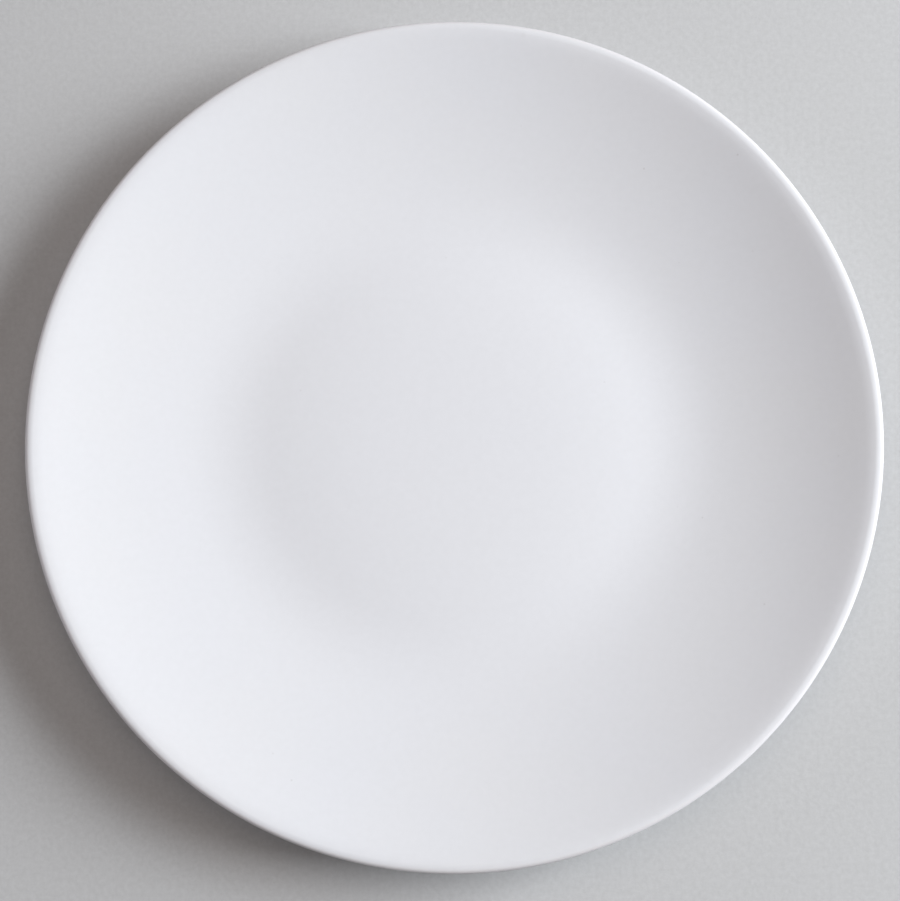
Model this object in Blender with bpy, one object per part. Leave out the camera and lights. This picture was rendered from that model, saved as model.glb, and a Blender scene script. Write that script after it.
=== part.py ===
"""Coupe salad plate: a fired clay body and the two coats of glaze fused to it.

The clay body is one piece, a shallow dish with a rounded lip and a foot ring turned on its underside.
One coat of glaze runs over the face, round the lip and down the back to the root of the foot. A second
coat, which meets the first nowhere, lines the recess inside the foot. The foot ring stays bare, because
the plate stands on it while the glaze melts.

The section is a chain of tangent lines and arcs in the half plane of radius and height, drawn once for
the clay. Each coat follows the same chain, moved out along its normals. A point of the half plane is a
complex number, radius + height * 1j.

Lengths are in metres, angles in degrees. +Z is up, and the table that the foot stands on is at z = 0.
"""

from cmath import phase, rect
from math import asin, cos, pi, radians, sin, sqrt

import bpy

# The plate as measured over the glaze
PLATE_DIAMETER = 0.210
RIM_THICKNESS = 0.0040  # through the wall just below the lip

# The face, from the centre outwards: a flat, a crown that falls away, a knuckle and the wall
FLAT_DIAMETER = 0.042
WELL_DIAMETER = 0.1005  # across the lowest line of the face
CROWN_ANGLE = 2.3  # how steeply the face falls just inside that line
KNUCKLE_RADIUS = 0.086
KNUCKLE_ANGLE = 10.6  # how steeply it rises where the knuckle becomes the wall
WALL_RADIUS = 0.197

# The lip: the wall eases over a shoulder to a crest, then turns down round a small edge
SHOULDER_RADIUS = 0.0176
SHOULDER_ANGLE = 13.4  # how steep the face still is where the shoulder becomes the crest
CREST_RADIUS = 0.0028
CREST_ANGLE = 9.0  # how far the crest falls towards the edge
EDGE_RADIUS = 0.00095

# The thickness of the clay
BASE_THICKNESS = 0.0046
WALL_ROOT_THICKNESS = 0.0042

# The foot ring and the recess inside it
RECESS_DEPTH = 0.0040
FOOT_DIAMETER = 0.113  # to the middle of the land that stands on the table
LAND_WIDTH = 0.0026
FOOT_EDGE_RADIUS = 0.0008
FOOT_DRAFT = 9.0
FOOT_FILLET = 0.0013

# The glaze
GLAZE_THICKNESS = 0.00025
BOND_CLEARANCE = 0.00005  # between the clay and the coat that is fused to it

# The facets
SEGMENTS = 72
CROWN_STEPS = 2
KNUCKLE_STEPS = 3
WALL_STEPS = 3
SHOULDER_STEPS = 1
CREST_STEPS = 1
EDGE_STEPS = 3
FILLET_STEPS = 3
FOOT_EDGE_STEPS = 2
GLAZE_EDGE_STEPS = 3
AXIS_MERGE = 0.00001

# Finishes: colour, roughness
CLAY_FINISH = ((0.75, 0.71, 0.63), 0.85)
GLAZE_FINISH = ((0.77, 0.78, 0.81), 0.40)
RECESS_FINISH = ((0.75, 0.76, 0.78), 0.45)

DOWN = -pi / 2
UP = pi / 2


def arc(centre, radius, start, end, steps, air_outside):
    """Stations along an arc. A station is a point and the normal that points from the clay to the air."""
    stations = []
    for step in range(steps + 1):
        ray = rect(1.0, start + (end - start) * step / steps)
        stations.append((centre + radius * ray, ray if air_outside else -ray))
    return stations


def crossing(start, heading, centre, radius, leaving):
    """How far along a straight path it enters a circle or, where leaving is set, leaves it."""
    offset = start - centre
    along = (offset * heading.conjugate()).real
    half_chord = sqrt(along**2 - abs(offset) ** 2 + radius**2)
    return half_chord - along if leaving else -half_chord - along


def clay_section():
    """The clay's outline from the middle of the face round to the middle of the recess, in three stretches.

    The outside ends at the root of the foot, the foot is the bare ring, and the recess starts at the
    root on the other side.
    """
    coat = BOND_CLEARANCE + GLAZE_THICKNESS
    crown = radians(CROWN_ANGLE)
    knuckle = radians(KNUCKLE_ANGLE)
    draft = radians(FOOT_DRAFT)
    flat = FLAT_DIAMETER / 2
    face_height = RECESS_DEPTH + BASE_THICKNESS
    rim_thickness = RIM_THICKNESS - 2 * coat

    # Each arc's centre lies on the normal that it shares with the arc before it.
    crown_radius = (WELL_DIAMETER / 2 - flat) / sin(crown) - KNUCKLE_RADIUS
    crown_centre = complex(flat, face_height - crown_radius)
    knuckle_centre = crown_centre + rect(crown_radius + KNUCKLE_RADIUS, UP - crown)
    wall_centre = knuckle_centre + rect(WALL_RADIUS - KNUCKLE_RADIUS, UP + knuckle)

    # The wall rises until the lip at its end reaches the rim of the clay.
    shoulder = radians(SHOULDER_ANGLE)
    crest = radians(CREST_ANGLE)
    crest_offset = rect(SHOULDER_RADIUS - CREST_RADIUS, UP + shoulder)
    edge_offset = rect(CREST_RADIUS - EDGE_RADIUS, UP - crest)
    edge_reach = PLATE_DIAMETER / 2 - coat - EDGE_RADIUS
    shoulder_reach = edge_reach - (crest_offset + edge_offset + wall_centre).real
    rim = asin(shoulder_reach / (WALL_RADIUS + SHOULDER_RADIUS))
    shoulder_centre = wall_centre - rect(WALL_RADIUS + SHOULDER_RADIUS, UP + rim)
    crest_centre = shoulder_centre + crest_offset
    edge_centre = crest_centre + edge_offset

    # The underside of the lip turns back until the wall has its thickness again.
    face_drop = SHOULDER_RADIUS - (rect(1.0, UP + rim).conjugate() * (edge_centre - shoulder_centre)).real
    under_radius = (rim_thickness - face_drop - EDGE_RADIUS * sin(rim)) / (1 - sin(rim))
    under_centre = edge_centre + EDGE_RADIUS - under_radius

    # The back is a flatter arc than the face, so that the wall thickens from the lip to its root.
    thickening = (WALL_ROOT_THICKNESS - rim_thickness) / (1 - cos(rim - knuckle))
    back_radius = WALL_RADIUS + rim_thickness + thickening
    back_centre = under_centre + rect(back_radius - under_radius, UP + rim)

    # The foot's flanks lean in towards the land, and a fillet rolls from each flank to the clay above.
    outer_edge = complex((FOOT_DIAMETER + LAND_WIDTH) / 2, FOOT_EDGE_RADIUS)
    inner_edge = complex((FOOT_DIAMETER - LAND_WIDTH) / 2, FOOT_EDGE_RADIUS)
    fillet_offset = FOOT_EDGE_RADIUS + FOOT_FILLET
    outer_path = outer_edge + rect(fillet_offset, -draft)
    outer_flank = rect(1.0, UP - draft)
    outer_rise = crossing(outer_path, outer_flank, back_centre, back_radius + FOOT_FILLET, leaving=False)
    outer_fillet = outer_path + outer_rise * outer_flank
    outer_root = phase(outer_fillet - back_centre)

    # The roof of the recess keeps the base thickness below the crown.
    roof_radius = crown_radius - BASE_THICKNESS
    inner_path = inner_edge + rect(fillet_offset, draft - pi)
    inner_flank = rect(1.0, UP + draft)
    inner_rise = crossing(inner_path, inner_flank, crown_centre, roof_radius - FOOT_FILLET, leaving=True)
    inner_fillet = inner_path + inner_rise * inner_flank
    inner_root = phase(inner_fillet - crown_centre)

    outside = [(complex(0, face_height), 1j)]
    outside += arc(crown_centre, crown_radius, UP, UP - crown, CROWN_STEPS, True)
    outside += arc(knuckle_centre, KNUCKLE_RADIUS, DOWN - crown, DOWN + knuckle, KNUCKLE_STEPS, False)[1:]
    outside += arc(wall_centre, WALL_RADIUS, DOWN + knuckle, DOWN + rim, WALL_STEPS, False)[1:]
    outside += arc(shoulder_centre, SHOULDER_RADIUS, UP + rim, UP + shoulder, SHOULDER_STEPS, True)[1:]
    outside += arc(crest_centre, CREST_RADIUS, UP + shoulder, UP, CREST_STEPS, True)[1:]
    outside += arc(crest_centre, CREST_RADIUS, UP, UP - crest, CREST_STEPS, True)[1:]
    outside += arc(edge_centre, EDGE_RADIUS, UP - crest, 0.0, EDGE_STEPS, True)[1:]
    outside += arc(under_centre, under_radius, 0.0, DOWN + rim, EDGE_STEPS, True)[1:]
    outside += arc(back_centre, back_radius, DOWN + rim, outer_root, WALL_STEPS, True)[1:]
    outside += arc(outer_fillet, FOOT_FILLET, outer_root + pi, pi - draft, FILLET_STEPS, False)[1:]

    foot = arc(outer_edge, FOOT_EDGE_RADIUS, -draft, DOWN, FOOT_EDGE_STEPS, True)
    foot += arc(inner_edge, FOOT_EDGE_RADIUS, DOWN, draft - pi, FOOT_EDGE_STEPS, True)

    recess = arc(inner_fillet, FOOT_FILLET, draft, inner_root, FILLET_STEPS, False)
    recess += arc(crown_centre, roof_radius, inner_root, UP, CROWN_STEPS, False)[1:]
    recess.append((complex(0, RECESS_DEPTH), -1j))
    return outside, foot, recess


def coat_section(stations):
    """A coat of glaze over stations that start on the axis: out along its surface and back along the clay.

    The coat's free edge is a half round, which the melting glaze draws itself into.
    """
    surface = [point + (BOND_CLEARANCE + GLAZE_THICKNESS) * normal for point, normal in stations]
    bond = [point + BOND_CLEARANCE * normal for point, normal in stations]
    normal = stations[-1][1]
    last_step = stations[-1][0] - stations[-2][0]
    ahead = 1j * normal if (last_step / normal).imag > 0 else -1j * normal
    edge_centre = (surface[-1] + bond[-1]) / 2
    edge = []
    for step in range(1, GLAZE_EDGE_STEPS):
        turn = pi * step / GLAZE_EDGE_STEPS
        edge.append(edge_centre + GLAZE_THICKNESS / 2 * (normal * cos(turn) + ahead * sin(turn)))
    return surface + edge + bond[::-1]


def finish(name, colour, roughness):
    """A non-metal with this colour and roughness."""
    material = bpy.data.materials.new(name)
    material.use_nodes = True
    shader = material.node_tree.nodes["Principled BSDF"]
    shader.inputs["Base Color"].default_value = (*colour, 1.0)
    shader.inputs["Roughness"].default_value = roughness
    shader.inputs["Metallic"].default_value = 0.0
    return material


def revolve(name, section, material, plate):
    """Turn a section about +Z. It runs from the axis out over the top of the solid and back below."""
    mesh = bpy.data.meshes.new(name)
    corners = [(point.real, 0.0, point.imag) for point in section]
    mesh.from_pydata(corners, [(i, i + 1) for i in range(len(corners) - 1)], [])
    mesh.materials.append(material)
    solid = bpy.data.objects.new(name, mesh)
    solid.parent = plate
    bpy.context.scene.collection.objects.link(solid)
    screw = solid.modifiers.new("Revolve", "SCREW")
    screw.axis = "Z"
    screw.steps = SEGMENTS
    screw.render_steps = SEGMENTS
    screw.use_merge_vertices = True
    screw.merge_threshold = AXIS_MERGE
    screw.use_smooth_shade = True
    return solid


def main():
    for old in list(bpy.data.objects):
        bpy.data.objects.remove(old)
    plate = bpy.data.objects.new("salad_plate", None)
    bpy.context.scene.collection.objects.link(plate)

    outside, foot, recess = clay_section()
    body = [point for point, normal in outside + foot + recess]
    revolve("ceramic_body", body, finish("bare_clay", *CLAY_FINISH), plate)
    revolve("outer_glaze", coat_section(outside), finish("satin_glaze", *GLAZE_FINISH), plate)
    recess_coat = coat_section(recess[::-1])
    revolve("base_glaze", recess_coat[::-1], finish("recess_glaze", *RECESS_FINISH), plate)


if __name__ == "__main__":
    main()
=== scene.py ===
"""The looks of the salad plate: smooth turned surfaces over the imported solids, grey paper, light and camera.

The plate is a solid of revolution, so each piece is turned again, much finer, from the section of its own
solid. A point of a section is a complex number, radius + height * 1j. A station is a point of a surface with
its normal. Lengths are in metres.
"""

import math
from cmath import phase, rect

import bpy
from mathutils import Matrix, Vector


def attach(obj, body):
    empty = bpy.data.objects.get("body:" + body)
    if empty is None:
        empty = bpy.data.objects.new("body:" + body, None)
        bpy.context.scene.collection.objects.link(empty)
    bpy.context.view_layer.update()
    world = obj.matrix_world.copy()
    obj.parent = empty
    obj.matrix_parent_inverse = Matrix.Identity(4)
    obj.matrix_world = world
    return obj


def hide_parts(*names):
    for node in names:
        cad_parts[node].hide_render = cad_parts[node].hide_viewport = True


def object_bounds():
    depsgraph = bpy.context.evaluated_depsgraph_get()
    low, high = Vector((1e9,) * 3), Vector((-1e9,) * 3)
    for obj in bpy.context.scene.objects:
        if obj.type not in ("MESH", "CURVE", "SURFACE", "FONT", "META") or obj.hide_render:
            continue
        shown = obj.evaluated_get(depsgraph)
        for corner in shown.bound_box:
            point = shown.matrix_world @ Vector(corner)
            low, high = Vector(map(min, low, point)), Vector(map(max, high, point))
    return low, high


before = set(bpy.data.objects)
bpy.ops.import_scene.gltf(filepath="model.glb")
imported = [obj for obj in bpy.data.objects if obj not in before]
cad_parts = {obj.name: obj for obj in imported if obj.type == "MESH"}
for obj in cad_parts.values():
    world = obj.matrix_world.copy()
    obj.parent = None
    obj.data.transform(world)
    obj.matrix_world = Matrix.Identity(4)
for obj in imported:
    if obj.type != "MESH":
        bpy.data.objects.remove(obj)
cad_low, cad_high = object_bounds()

# Facets of the turned pieces: how many go round, and how long they are along the section
SEGMENTS = 256
SEEN_FACET = 0.0035
HIDDEN_FACET = 0.012
TURN_PER_FACET = math.radians(6)
BEAD_STEPS = 8
ON_PLANE = 1e-6

# Discs and rings on a piece's map, for its seen side and its hidden ones: middle, then radius
WIDE_CHART = (0.325 + 0.675j, 0.31)
CORNER_CHART = (0.82 + 0.82j, 0.17)
LEFT_CHART = (0.16 + 0.16j, 0.15)
MIDDLE_CHART = (0.48 + 0.16j, 0.15)

# Colours, linear
GLAZE_WHITE = (0.754, 0.762, 0.796)
GLAZE_DRIFT = (0.761, 0.765, 0.788)
# Painted light: the whiter white of the well, where more light falls on the flat face than on the wall
GLAZE_WELL_LIGHT = (0.784, 0.791, 0.824)
GLAZE_SHADE = (0.52, 0.52, 0.53)
# The warmer, slightly darker tint just inside the rim
GLAZE_RIM_TINT = (0.785, 0.725, 0.735)
SPECK_GREY = (0.40, 0.38, 0.37)
RECESS_WHITE = (0.750, 0.755, 0.775)
RECESS_DRIFT = (0.765, 0.765, 0.775)
CLAY = (0.74, 0.70, 0.62)
CLAY_SAND = (0.58, 0.52, 0.44)
CLAY_WEAR = (0.42, 0.40, 0.37)
PAPER = (0.560, 0.564, 0.569)
PAPER_FIBRE = (0.40, 0.40, 0.40)
BACKDROP = (0.56, 0.56, 0.57)

# Noise runs from 0 to 1 and keeps mostly between these
NOISE_LOW = 0.3
NOISE_HIGH = 0.7

# Glaze: its drifts of colour, its mottle, and its gloss with the peel that softens it
DRIFT_SIZE = 0.045
MOTTLE_SIZE = 0.0016
MOTTLE_SHARE = 0.05
GLAZE_DETAIL = 3.0
GLAZE_ROUGHNESS = 0.78
RECESS_ROUGHNESS = 0.82
ROUGHNESS_DRIFT = 0.03
ROUGHNESS_SIZE = 0.006
GLAZE_SHINE = 0.2
PEEL_SIZE = 0.0022
PEEL_DETAIL = 1.0
PEEL_STRENGTH = 0.06
PEEL_DEPTH = 0.0002

# Painted light in the well: the face drawn whiter where more light falls on it than on the wall, from and to
# in rim radii, and how much it whitens there
WELL_LIGHT_START = 0.45
WELL_LIGHT_END = 0.85
WELL_LIGHT_SHARE = 0.75

# A warmer, slightly darker tint just inside the rim: from and to as distances inside it, and how much of the
# tint shows there
RIM_TINT_START = 0.0015
RIM_TINT_END = 0.0005
RIM_TINT_SHARE = 0.3

# Specks in the glaze: how far apart their cells are, how wide the widest is, how many cells have one
SPECK_SPACING = 0.019
SPECK_SIZE = 0.0004
SPECK_CHANCE = 0.12
SPECK_STRENGTH = 0.12

# Faint grey marks on the face: the middle of each, how wide it is and how strong
MARKS = (
    ((0.0481, 0.0683, 0.0139), 0.00055, 0.30),
    ((0.0709, 0.0702, 0.0193), 0.00055, 0.30),
    ((0.0618, -0.0193, 0.0096), 0.00045, 0.25),
    ((0.0759, -0.0409, 0.0147), 0.00055, 0.25),
    ((-0.0388, -0.0832, 0.0164), 0.00055, 0.25),
    ((-0.0435, -0.0769, 0.0153), 0.00045, 0.20),
    ((0.0179, 0.1011, 0.0202), 0.0013, 0.08),
)

# Clay: its grain, how rough it is, and the wear on the land and just above it
GRAIN_SIZE = 0.0005
GRAIN_SHARE = 0.4
GRAIN_STRENGTH = 0.4
GRAIN_DEPTH = 0.0001
CLAY_ROUGHNESS = (0.78, 0.92)
WEAR_SIZE = 0.003
WEAR_DETAIL = 3.0
WEAR_NOISE = (0.42, 0.62)
WEAR_SHARE = (0.1, 0.55)
WEAR_FULL = 0.0001
WEAR_NONE = 0.0005

# Paper: its tooth, and how rough it is
TOOTH_SIZE = 0.0013
TOOTH_NOISE = (0.35, 0.65)
TOOTH_SHARE = 0.28
TOOTH_STRENGTH = 0.35
TOOTH_DEPTH = 0.00012
PAPER_ROUGHNESS = (0.85, 0.95)

# The noise of both grain and tooth is fine and sharp
GRIT_DETAIL = 4.0
GRIT_SHARPNESS = 0.7

# The photograph's frame, and where the rim lies in it, in pixels
IMAGE_WIDTH = 900
IMAGE_HEIGHT = 901
RIM_CENTRE = (454.3, 448.8)
RIM_HALF_WIDTH = 429.2

# The camera: how far it stands from the middle of the rim, how far it leans from straight above, to which side
CAMERA_DISTANCE = 0.45
CAMERA_TILT = math.radians(7.5)
CAMERA_SIDE = math.radians(-80.5)
SENSOR = 36.0
NEAREST = 0.01

# Lamps: name, azimuth from +X towards +Y, elevation, distance from the rim, width, power, colour
LAMPS = (
    ("window", 9.0, 31.0, 1.4, 0.8, 29.55, (0.922, 0.963, 1.0)),
    ("ceiling", 90.0, 80.0, 1.3, 1.0, 4.74, (1.0, 0.885, 0.818)),
    ("reflector", 180.0, 15.0, 1.3, 1.0, 3.75, (0.843, 0.878, 1.0)),
)
ROOM_COLOUR = (1.0, 0.8, 0.6)
ROOM_STRENGTH = 0.03

# The paper: how wide the sheet is, and from where to where it fades into the backdrop, in rim radii
FLOOR_SIZE = 4.0
FADE_START = 1.7
FADE_END = 4.5


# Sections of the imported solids

def half_section(node):
    """The outline of a turned node in the half plane y = 0, x > 0, from its higher open end to its lower."""
    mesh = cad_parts[node].data
    places = {}
    points = {}
    for vertex in mesh.vertices:
        x, y, z = vertex.co
        if abs(y) < ON_PLANE and x > ON_PLANE:
            place = (round(x / ON_PLANE), round(z / ON_PLANE))
            places[vertex.index] = place
            points[place] = complex(x, z)
    beside = {place: set() for place in points}
    for edge in mesh.edges:
        first, second = (places.get(i) for i in edge.vertices)
        if first and second and first != second:
            beside[first].add(second)
            beside[second].add(first)
    ends = [place for place in beside if len(beside[place]) == 1]
    here = max(ends, key=lambda place: place[1])
    outline = []
    seen = set()
    while here:
        outline.append(points[here])
        seen.add(here)
        here = next((place for place in beside[here] if place not in seen), None)
    return outline


def coat_stations(outline):
    """The stations along a coat's air side, and the coat's thickness.

    The outline runs along the air side, round the coat's edge and back along the clay, so its first and
    last points face each other across the coat, and so do the next ones in from them.
    """
    facing = list(zip(outline, reversed(outline)))[: len(outline) // 2]
    thickness = max(abs(air - clay) for air, clay in facing)
    whole = [(air, clay) for air, clay in facing if abs(air - clay) > 0.9 * thickness]
    return [(air, (air - clay) / abs(air - clay)) for air, clay in whole], thickness


def moved(stations, distance):
    """Stations moved along their normals."""
    return [(point + distance * normal, normal) for point, normal in stations]


def smooth(stations, facet):
    """Points along the smooth curve from the axis through stations, an arc or a line between each two."""
    point, normal = stations[0]
    chain = [(complex(0, point.imag), normal)] + stations
    points = [chain[0][0]]
    for (start, start_normal), (end, end_normal) in zip(chain, chain[1:]):
        chord = end - start
        ahead = 1j if (chord / start_normal).imag > 0 else -1j
        turn = abs(phase(end_normal / start_normal))
        arm = abs(chord) / 3
        if turn > ON_PLANE:
            arm = abs(chord) * 2 / 3 * math.tan(turn / 4) / math.sin(turn / 2)
        leave = start + arm * ahead * start_normal
        arrive = end - arm * ahead * end_normal
        steps = max(math.ceil(turn / TURN_PER_FACET), math.ceil(abs(chord) / facet))
        for step in range(1, steps + 1):
            t = step / steps
            u = 1 - t
            points.append(u**3 * start + 3 * u * u * t * leave + 3 * u * t * t * arrive + t**3 * end)
    return points


def bead(stations, thickness):
    """The half round that a coat ends in, from its air side to the clay."""
    (before, _), (point, normal) = stations[-2:]
    ahead = 1j * normal if ((point - before) / normal).imag > 0 else -1j * normal
    middle = point - normal * thickness / 2
    points = []
    for step in range(1, BEAD_STEPS):
        turn = math.pi * step / BEAD_STEPS
        points.append(middle + thickness / 2 * (normal * math.cos(turn) + ahead * math.sin(turn)))
    return points


def arc_through(first, middle, last):
    """Points along the arc through three points."""
    ratio = (last - first) / (middle - first)
    centre = first + (middle - first) * (ratio - abs(ratio) ** 2) / (2j * ratio.imag)
    turn = phase((middle - centre) / (first - centre)) + phase((last - centre) / (middle - centre))
    steps = math.ceil(abs(turn) / TURN_PER_FACET)
    return [centre + (first - centre) * rect(1.0, turn * step / steps) for step in range(steps + 1)]


def foot_ring(outline, outer_root, inner_root):
    """The bare foot between its two roots: down the outer flank, round two edges, and up the inner flank."""
    start = min(range(len(outline)), key=lambda i: abs(outline[i] - outer_root))
    end = min(range(len(outline)), key=lambda i: abs(outline[i] - inner_root))
    foot = outline[start + 1 : end]
    half = len(foot) // 2
    outer_edge = arc_through(foot[0], foot[half // 2], foot[half - 1])
    inner_edge = arc_through(foot[half], foot[half + half // 2], foot[-1])
    return [outer_root] + outer_edge + inner_edge + [inner_root]


def at_rim(points):
    """A path out to the rim and back in, cut in two at its widest point."""
    widest = max(range(len(points)), key=lambda i: points[i].real)
    return points[: widest + 1], points[widest:]


# Meshes

def turned(name, stretches, material):
    """A piece turned about +Z.

    Its section is a chain of stretches that runs from the axis out over the top of the piece and back below
    it. Each stretch comes with its disc or ring on the piece's map, and with where its two ends lie there, as
    shares of the radius.
    """
    corners = []
    faces = []
    spots = []
    previous = None
    for points, (middle, radius), first_share, last_share in stretches:
        lengths = [0.0]
        for start, end in zip(points, points[1:]):
            lengths.append(lengths[-1] + abs(end - start))
        for point, length in zip(points, lengths):
            share = radius * (first_share + (last_share - first_share) * length / lengths[-1])
            if previous is not None and length == 0.0:
                ring = previous[0]
            else:
                ring = add_ring(corners, point)
            if length > 0.0:
                add_band(faces, spots, middle, previous, (ring, share))
            previous = (ring, share)
    mesh = bpy.data.meshes.new(name)
    mesh.from_pydata(corners, [], faces)
    mesh.shade_smooth()
    mesh.materials.append(material)
    chart = mesh.uv_layers.new(name="OFBake")
    chart.data.foreach_set("uv", [number for spot in spots for number in (spot.real, spot.imag)])
    piece = bpy.data.objects.new(name, mesh)
    bpy.context.scene.collection.objects.link(piece)
    return piece


def add_ring(corners, point):
    """Corners all round at a point of the section, or one corner on the axis. Returns their numbers."""
    first = len(corners)
    if point.real < ON_PLANE:
        corners.append((0.0, 0.0, point.imag))
        return [first] * (SEGMENTS + 1)
    for segment in range(SEGMENTS):
        spoke = rect(point.real, 2 * math.pi * segment / SEGMENTS)
        corners.append((spoke.real, spoke.imag, point.imag))
    return [first + segment for segment in range(SEGMENTS)] + [first]


def add_band(faces, spots, middle, near, far):
    """The faces between two rings, and where their corners lie on the map."""
    for segment in range(SEGMENTS):
        band = []
        for (ring, share), edge in ((near, segment), (far, segment), (far, segment + 1), (near, segment + 1)):
            if ring[edge] not in [corner for corner, spot in band]:
                band.append((ring[edge], middle + rect(share, 2 * math.pi * edge / SEGMENTS)))
        faces.append([corner for corner, spot in band])
        spots.extend(spot for corner, spot in band)


# Materials

def add(tree, kind, inputs, **settings):
    """A new node with these settings. An input takes a value, or a socket that is linked to it."""
    node = tree.nodes.new(kind)
    for name, value in settings.items():
        setattr(node, name, value)
    for name, value in inputs.items():
        if isinstance(value, bpy.types.NodeSocket):
            tree.links.new(value, node.inputs[name])
        else:
            node.inputs[name].default_value = value
    return node


def new_material(name):
    """A material with its node tree, its shader and the place of each point on the piece."""
    material = bpy.data.materials.new(name)
    material.use_nodes = True
    tree = material.node_tree
    place = tree.nodes.new("ShaderNodeTexCoord").outputs["Object"]
    return material, tree, tree.nodes["Principled BSDF"], place


def noise(tree, place, size, detail, sharpness=0.5):
    """Noise from 0 to 1 with features of about this size."""
    inputs = {"Vector": place, "Scale": 1 / size, "Detail": detail, "Roughness": sharpness}
    return add(tree, "ShaderNodeTexNoise", inputs).outputs["Fac"]


def spread(tree, value, low, high, to_low, to_high, kind="LINEAR"):
    """A value carried from one range to another, and held at its ends."""
    inputs = {"Value": value, "From Min": low, "From Max": high, "To Min": to_low, "To Max": to_high}
    return add(tree, "ShaderNodeMapRange", inputs, interpolation_type=kind).outputs["Result"]


def spread_noise(tree, value, to_low, to_high):
    """Noise carried to another range."""
    return spread(tree, value, NOISE_LOW, NOISE_HIGH, to_low, to_high)


def product(tree, first, second):
    """Two values multiplied."""
    return add(tree, "ShaderNodeMath", {0: first, 1: second}, operation="MULTIPLY").outputs[0]


def blend(tree, share, first, second):
    """The first colour, given over to the second by this share."""
    inputs = {"Factor_Float": share, "A_Color": first, "B_Color": second}
    mix = tree.nodes.new("ShaderNodeMix")
    mix.data_type = "RGBA"
    for socket in mix.inputs:
        value = inputs.get(socket.identifier)
        if isinstance(value, bpy.types.NodeSocket):
            tree.links.new(value, socket)
        elif value is not None:
            socket.default_value = (*value, 1.0)
    return next(socket for socket in mix.outputs if socket.identifier == "Result_Color")


def relief(tree, shader, height, strength, depth):
    """Fine unevenness of the surface."""
    inputs = {"Height": height, "Strength": strength, "Distance": depth}
    tree.links.new(add(tree, "ShaderNodeBump", inputs).outputs["Normal"], shader.inputs["Normal"])


def axis_distance(tree, place):
    """How far each point lies from the plate's axis."""
    flat = add(tree, "ShaderNodeVectorMath", {0: place, 1: (1.0, 1.0, 0.0)}, operation="MULTIPLY")
    return add(tree, "ShaderNodeVectorMath", {0: flat.outputs[0]}, operation="LENGTH").outputs["Value"]


def spot_mask(tree, place, centre, size, strength):
    """One soft round spot."""
    gap = add(tree, "ShaderNodeVectorMath", {0: place, 1: centre}, operation="DISTANCE").outputs["Value"]
    return spread(tree, gap, 0.1 * size, 0.7 * size, strength, 0.0, "SMOOTHSTEP")


def speck_mask(tree, place):
    """Sparse round specks of several widths, scattered over the piece."""
    inputs = {"Vector": place, "Scale": 1 / SPECK_SPACING, "Randomness": 1.0}
    cells = add(tree, "ShaderNodeTexVoronoi", inputs, voronoi_dimensions="2D")
    chance = add(tree, "ShaderNodeSeparateColor", {"Color": cells.outputs["Color"]})
    bare = 1 - SPECK_CHANCE
    chosen = spread(tree, chance.outputs["Red"], bare, bare + 0.001, 0.0, 1.0)
    widest = SPECK_SIZE / SPECK_SPACING
    width = spread(tree, chance.outputs["Green"], 0.0, 1.0, widest / 2, widest)
    ratio = add(tree, "ShaderNodeMath", {0: cells.outputs["Distance"], 1: width}, operation="DIVIDE")
    disc = spread(tree, ratio.outputs[0], 0.4, 1.0, 1.0, 0.0, "SMOOTHSTEP")
    return product(tree, chosen, disc)


def glaze_material(name, white, drift, roughness, rim_radius=None):
    """Satin white glaze with faint drifts of colour, a fine peel and sparse grey specks.

    With a rim it is painted whiter in the well: painted light for the light from above that falls more on the
    flat well than on the wall. Near the rim it is tinted warmer and a little darker.
    """
    material, tree, shader, place = new_material(name)
    clouds = spread_noise(tree, noise(tree, place, DRIFT_SIZE, GLAZE_DETAIL), 0.0, 1.0)
    colour = blend(tree, clouds, white, drift)
    if rim_radius:
        reach = axis_distance(tree, place)
        start, end = WELL_LIGHT_START * rim_radius, WELL_LIGHT_END * rim_radius
        # Painted light: the well is drawn whiter, for the light that falls more on the flat well than on the
        # wall
        well_light = spread(tree, reach, start, end, WELL_LIGHT_SHARE, 0.0, "SMOOTHSTEP")
        colour = blend(tree, well_light, colour, GLAZE_WELL_LIGHT)
    mottle = spread_noise(tree, noise(tree, place, MOTTLE_SIZE, GLAZE_DETAIL), 0.0, MOTTLE_SHARE)
    colour = blend(tree, mottle, colour, GLAZE_SHADE)
    if rim_radius:
        # Warmer and a little darker just inside the rim
        start, end = rim_radius - RIM_TINT_START, rim_radius - RIM_TINT_END
        rim_tint = spread(tree, reach, start, end, 0.0, RIM_TINT_SHARE, "SMOOTHSTEP")
        colour = blend(tree, rim_tint, colour, GLAZE_RIM_TINT)
        for centre, size, strength in MARKS:
            colour = blend(tree, spot_mask(tree, place, centre, size, strength), colour, SPECK_GREY)
    specks = product(tree, speck_mask(tree, place), SPECK_STRENGTH)
    colour = blend(tree, specks, colour, SPECK_GREY)
    tree.links.new(colour, shader.inputs["Base Color"])

    satin = noise(tree, place, ROUGHNESS_SIZE, GLAZE_DETAIL)
    satin = spread_noise(tree, satin, roughness - ROUGHNESS_DRIFT, roughness + ROUGHNESS_DRIFT)
    tree.links.new(satin, shader.inputs["Roughness"])
    shader.inputs["Specular IOR Level"].default_value = GLAZE_SHINE
    relief(tree, shader, noise(tree, place, PEEL_SIZE, PEEL_DETAIL), PEEL_STRENGTH, PEEL_DEPTH)
    return material


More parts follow.
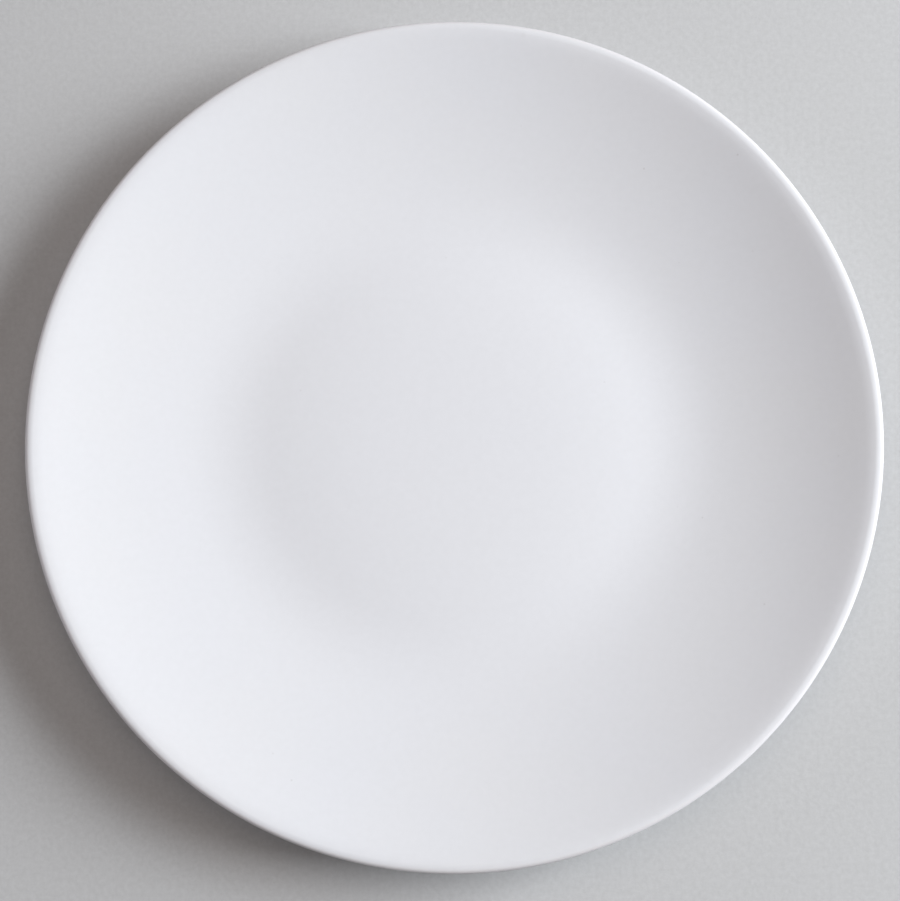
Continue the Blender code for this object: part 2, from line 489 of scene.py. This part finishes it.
def clay_material(name, land_height):
    """Fired clay without glaze: fine sandy grain, and grey wear where the land rubs on tables."""
    material, tree, shader, place = new_material(name)
    grain = noise(tree, place, GRAIN_SIZE, GRIT_DETAIL, GRIT_SHARPNESS)
    colour = blend(tree, spread_noise(tree, grain, 0.0, GRAIN_SHARE), CLAY, CLAY_SAND)
    height = add(tree, "ShaderNodeSeparateXYZ", {"Vector": place}).outputs["Z"]
    on_land = spread(tree, height, land_height + WEAR_FULL, land_height + WEAR_NONE, 1.0, 0.0)
    patches = spread(tree, noise(tree, place, WEAR_SIZE, WEAR_DETAIL), *WEAR_NOISE, *WEAR_SHARE)
    colour = blend(tree, product(tree, on_land, patches), colour, CLAY_WEAR)
    tree.links.new(colour, shader.inputs["Base Color"])
    tree.links.new(spread_noise(tree, grain, *CLAY_ROUGHNESS), shader.inputs["Roughness"])
    relief(tree, shader, grain, GRAIN_STRENGTH, GRAIN_DEPTH)
    return material


def seen_share(tree):
    """1 for rays that the camera sends out, also by way of a gloss or through glass, and 0 for other light."""
    path = tree.nodes.new("ShaderNodeLightPath").outputs
    inputs = {0: path["Is Camera Ray"], 1: path["Is Glossy Ray"]}
    seen = add(tree, "ShaderNodeMath", inputs, operation="MAXIMUM").outputs[0]
    inputs = {0: seen, 1: path["Is Transmission Ray"]}
    return add(tree, "ShaderNodeMath", inputs, operation="MAXIMUM").outputs[0]


def show(tree, output, share, first, second):
    """Give a tree's output the first shader, handed over to the second by this share."""
    surface = add(tree, "ShaderNodeMixShader", {0: share, 1: first, 2: second}).outputs[0]
    tree.links.new(surface, tree.nodes[output].inputs["Surface"])


def paper_material(name, rim_radius):
    """Plain grey paper with a fine tooth, which fades into the backdrop far from the plate."""
    material, tree, shader, place = new_material(name)
    tooth = noise(tree, place, TOOTH_SIZE, GRIT_DETAIL, GRIT_SHARPNESS)
    colour = blend(tree, spread(tree, tooth, *TOOTH_NOISE, 0.0, TOOTH_SHARE), PAPER, PAPER_FIBRE)
    tree.links.new(colour, shader.inputs["Base Color"])
    tree.links.new(spread_noise(tree, tooth, *PAPER_ROUGHNESS), shader.inputs["Roughness"])
    relief(tree, shader, tooth, TOOTH_STRENGTH, TOOTH_DEPTH)

    start, end = FADE_START * rim_radius, FADE_END * rim_radius
    away = spread(tree, axis_distance(tree, place), start, end, 0.0, 1.0, "SMOOTHSTEP")
    backdrop = add(tree, "ShaderNodeEmission", {"Color": (*BACKDROP, 1.0)}).outputs[0]
    share = product(tree, seen_share(tree), away)
    show(tree, "Material Output", share, shader.outputs[0], backdrop)
    return material


# Stage

def make_floor(level, material):
    """A sheet of paper under the plate."""
    half = FLOOR_SIZE / 2
    mesh = bpy.data.meshes.new("paper_floor")
    corners = [(-half, -half, level), (half, -half, level), (half, half, level), (-half, half, level)]
    mesh.from_pydata(corners, [], [(0, 1, 2, 3)])
    mesh.materials.append(material)
    floor = bpy.data.objects.new("paper_floor", mesh)
    bpy.context.scene.collection.objects.link(floor)
    return floor


def heading(azimuth, elevation):
    """A unit vector: azimuth from +X towards +Y, elevation above the table."""
    level = rect(math.cos(elevation), azimuth)
    return Vector((level.real, level.imag, math.sin(elevation)))


def aim(thing, place, target):
    """Put a lamp or the camera at a place, looking at a target with +Y up in the picture."""
    back = (place - target).normalized()
    right = Vector((0.0, 1.0, 0.0)).cross(back).normalized()
    turn = Matrix((right, back.cross(right), back)).transposed()
    thing.matrix_world = Matrix.Translation(place) @ turn.to_4x4()


def make_light(name, azimuth, elevation, distance, width, power, colour, target):
    """A square soft lamp that faces the plate."""
    lamp = bpy.data.lights.new(name, "AREA")
    lamp.shape = "SQUARE"
    lamp.size = width
    lamp.energy = power
    lamp.color = colour
    light = bpy.data.objects.new(name, lamp)
    bpy.context.scene.collection.objects.link(light)
    aim(light, target + distance * heading(math.radians(azimuth), math.radians(elevation)), target)
    return light


def make_room():
    """Faint even light from the room, and the pale backdrop that is seen behind the plate and in its gloss."""
    world = bpy.data.worlds.new("room")
    world.use_nodes = True
    tree = world.node_tree
    light = tree.nodes["Background"]
    light.inputs["Color"].default_value = (*ROOM_COLOUR, 1.0)
    light.inputs["Strength"].default_value = ROOM_STRENGTH
    backdrop = add(tree, "ShaderNodeBackground", {"Color": (*BACKDROP, 1.0)}).outputs[0]
    show(tree, "World Output", seen_share(tree), light.outputs[0], backdrop)
    bpy.context.scene.world = world


def make_camera(rim_middle, rim_radius):
    """A camera nearly straight above that frames the rim as the photograph does.

    The near half of a leaning circle looks larger than its far half, so the middle of its outline lies
    on the camera's side of its own middle.
    """
    data = bpy.data.cameras.new("camera")
    camera = bpy.data.objects.new("camera", data)
    bpy.context.scene.collection.objects.link(camera)
    pixel = rim_radius / RIM_HALF_WIDTH
    data.sensor_width = SENSOR
    data.lens = SENSOR * CAMERA_DISTANCE / pixel / max(IMAGE_WIDTH, IMAGE_HEIGHT)
    data.clip_start = NEAREST
    nearer = rim_radius * math.sin(CAMERA_TILT)
    shift = nearer * rim_radius * CAMERA_DISTANCE * math.cos(CAMERA_TILT) / (CAMERA_DISTANCE**2 - nearer**2)
    outline_middle = Vector((RIM_CENTRE[0] - IMAGE_WIDTH / 2, IMAGE_HEIGHT / 2 - RIM_CENTRE[1], 0.0)) * pixel
    target = rim_middle + shift * heading(CAMERA_SIDE, 0.0) - outline_middle
    aim(camera, rim_middle + CAMERA_DISTANCE * heading(CAMERA_SIDE, math.pi / 2 - CAMERA_TILT), target)
    bpy.context.scene.camera = camera


# The plate

outer_loop = half_section("outer_glaze")
base_loop = half_section("base_glaze")
body_loop = half_section("ceramic_body")
outer, outer_thickness = coat_stations(outer_loop)
base, base_thickness = coat_stations(base_loop[::-1])
bond = outer_loop[-1].imag - body_loop[0].imag
rim_radius, rim_height = max((point.real, point.imag) for point, normal in outer)

face, back = at_rim(smooth(outer, SEEN_FACET) + bead(outer, outer_thickness))
hidden_face, hidden_back = at_rim(smooth(moved(outer, -outer_thickness), HIDDEN_FACET))
outer_piece = turned(
    "plate_outer_glaze",
    (
        (face, WIDE_CHART, 0.0, 1.0),
        (back + hidden_back[-1:], CORNER_CHART, 1.0, 0.5),
        (hidden_back[::-1], LEFT_CHART, 0.5, 1.0),
        (hidden_face[::-1], MIDDLE_CHART, 1.0, 0.0),
    ),
    glaze_material("satin_glaze", GLAZE_WHITE, GLAZE_DRIFT, GLAZE_ROUGHNESS, rim_radius),
)

roof = smooth(base, SEEN_FACET) + bead(base, base_thickness)
hidden_roof = smooth(moved(base, -base_thickness), HIDDEN_FACET)
base_piece = turned(
    "plate_base_glaze",
    ((hidden_roof, LEFT_CHART, 0.0, 1.0), (hidden_roof[-1:] + roof[::-1], WIDE_CHART, 1.0, 0.0)),
    glaze_material("recess_glaze", RECESS_WHITE, RECESS_DRIFT, RECESS_ROUGHNESS),
)

clay_face, clay_back = at_rim(smooth(moved(outer, -outer_thickness - bond), HIDDEN_FACET))
clay_roof = smooth(moved(base, -base_thickness - bond), HIDDEN_FACET)
body_piece = turned(
    "plate_clay_body",
    (
        (clay_face, CORNER_CHART, 0.0, 1.0),
        (clay_back, LEFT_CHART, 1.0, 0.5),
        (foot_ring(body_loop, clay_back[-1], clay_roof[-1]), WIDE_CHART, 1.0, 0.85),
        (clay_roof[::-1], MIDDLE_CHART, 1.0, 0.0),
    ),
    clay_material("bare_clay", cad_low.z),
)

for piece, node, slot in (
    (outer_piece, "outer_glaze", "satin_glaze"),
    (base_piece, "base_glaze", "recess_glaze"),
    (body_piece, "ceramic_body", "bare_clay"),
):
    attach(piece, "root")
    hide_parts(node)

# Paper, light and camera

rim_middle = Vector((0.0, 0.0, rim_height))
make_floor(cad_low.z, paper_material("grey_paper", rim_radius))
for lamp in LAMPS:
    make_light(*lamp, rim_middle)
make_room()
make_camera(rim_middle, rim_radius)
bpy.context.scene.view_settings.view_transform = "Standard"
